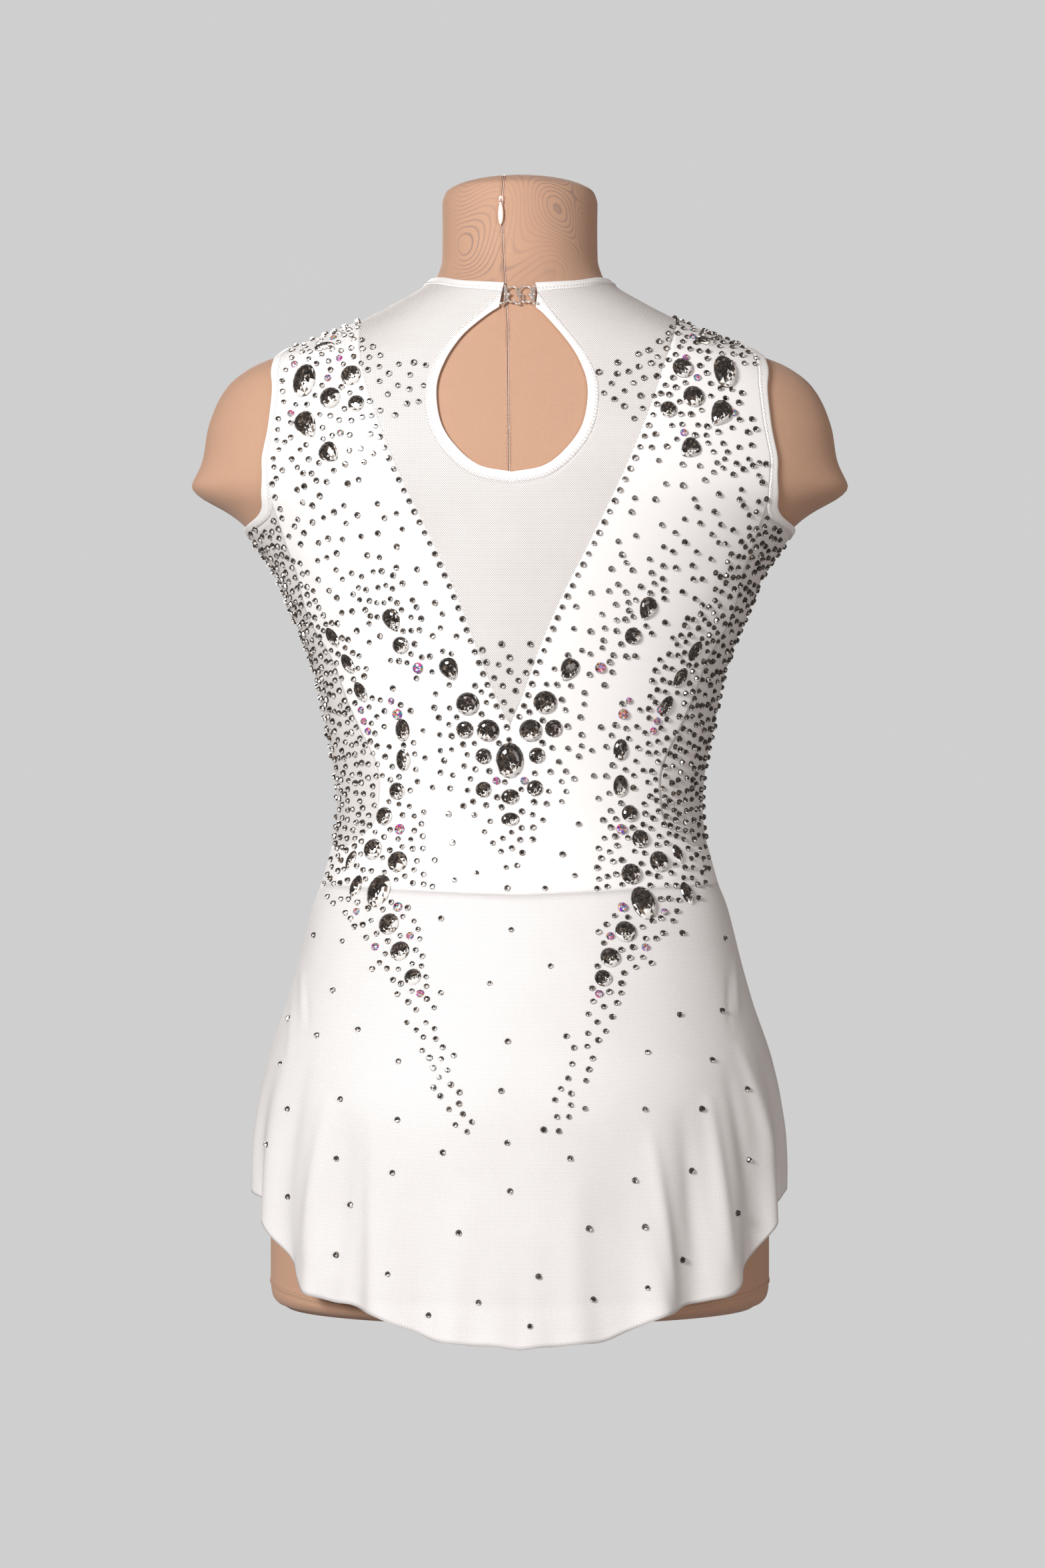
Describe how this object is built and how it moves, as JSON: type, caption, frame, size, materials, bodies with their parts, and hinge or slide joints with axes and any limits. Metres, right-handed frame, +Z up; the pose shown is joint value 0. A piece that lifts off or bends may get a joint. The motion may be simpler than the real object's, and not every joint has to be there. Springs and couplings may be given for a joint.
{
  "type": "rhythmic gymnastics leotard on a dress form",
  "caption": "Sleeveless leotard with keyhole back, sheer yoke, raised stones and a flared mesh skirt, worn by a limbless knit-covered dress form with a back zip.",
  "frame": {"origin": "centre of the foot's flat underside", "axes": "+Z up the form, +Y out of the wearer's back, +X towards the wearer's left"},
  "size_m": [0.471, 0.2766, 0.8251],
  "materials": {
    "cover_knit": "matt fine knit",
    "foot_plastic": "matt",
    "white_lycra": "satin stretch knit",
    "sheer_mesh": "sheer mesh",
    "skirt_mesh": "fine mesh",
    "white_elastic": "satin folded elastic",
    "zip_plastic": "lacquered",
    "clasp_metal": "polished"
  },
  "bodies": {
    "form": {"form_body": "cover_knit", "form_foot": "foot_plastic", "back_panel": "white_lycra", "front_panel": "white_lycra", "side_panel_left": "sheer_mesh", "side_panel_right": "sheer_mesh", "back_yoke": "sheer_mesh", "front_yoke": "sheer_mesh", "armhole_binding_left": "white_elastic", "armhole_binding_right": "white_elastic", "keyhole_binding": "white_elastic", "neck_binding": "white_elastic", "skirt_back": "skirt_mesh", "skirt_front": "skirt_mesh", "brief_back": "white_lycra", "brief_front": "white_lycra", "zip_slider": "zip_plastic", "clasp_left": "clasp_metal", "clasp_right": "clasp_metal"},
    "pull": {"zip_pull": "zip_plastic"}
  },
  "joints": [
    {"name": "pull_swing", "type": "hinge", "parent": "form", "child": "pull", "pos_m": [0.01345, 0.05872, 0.80103], "axis": [0.9725, -0.2327, 0], "range_deg": [0, 150]}
  ]
}
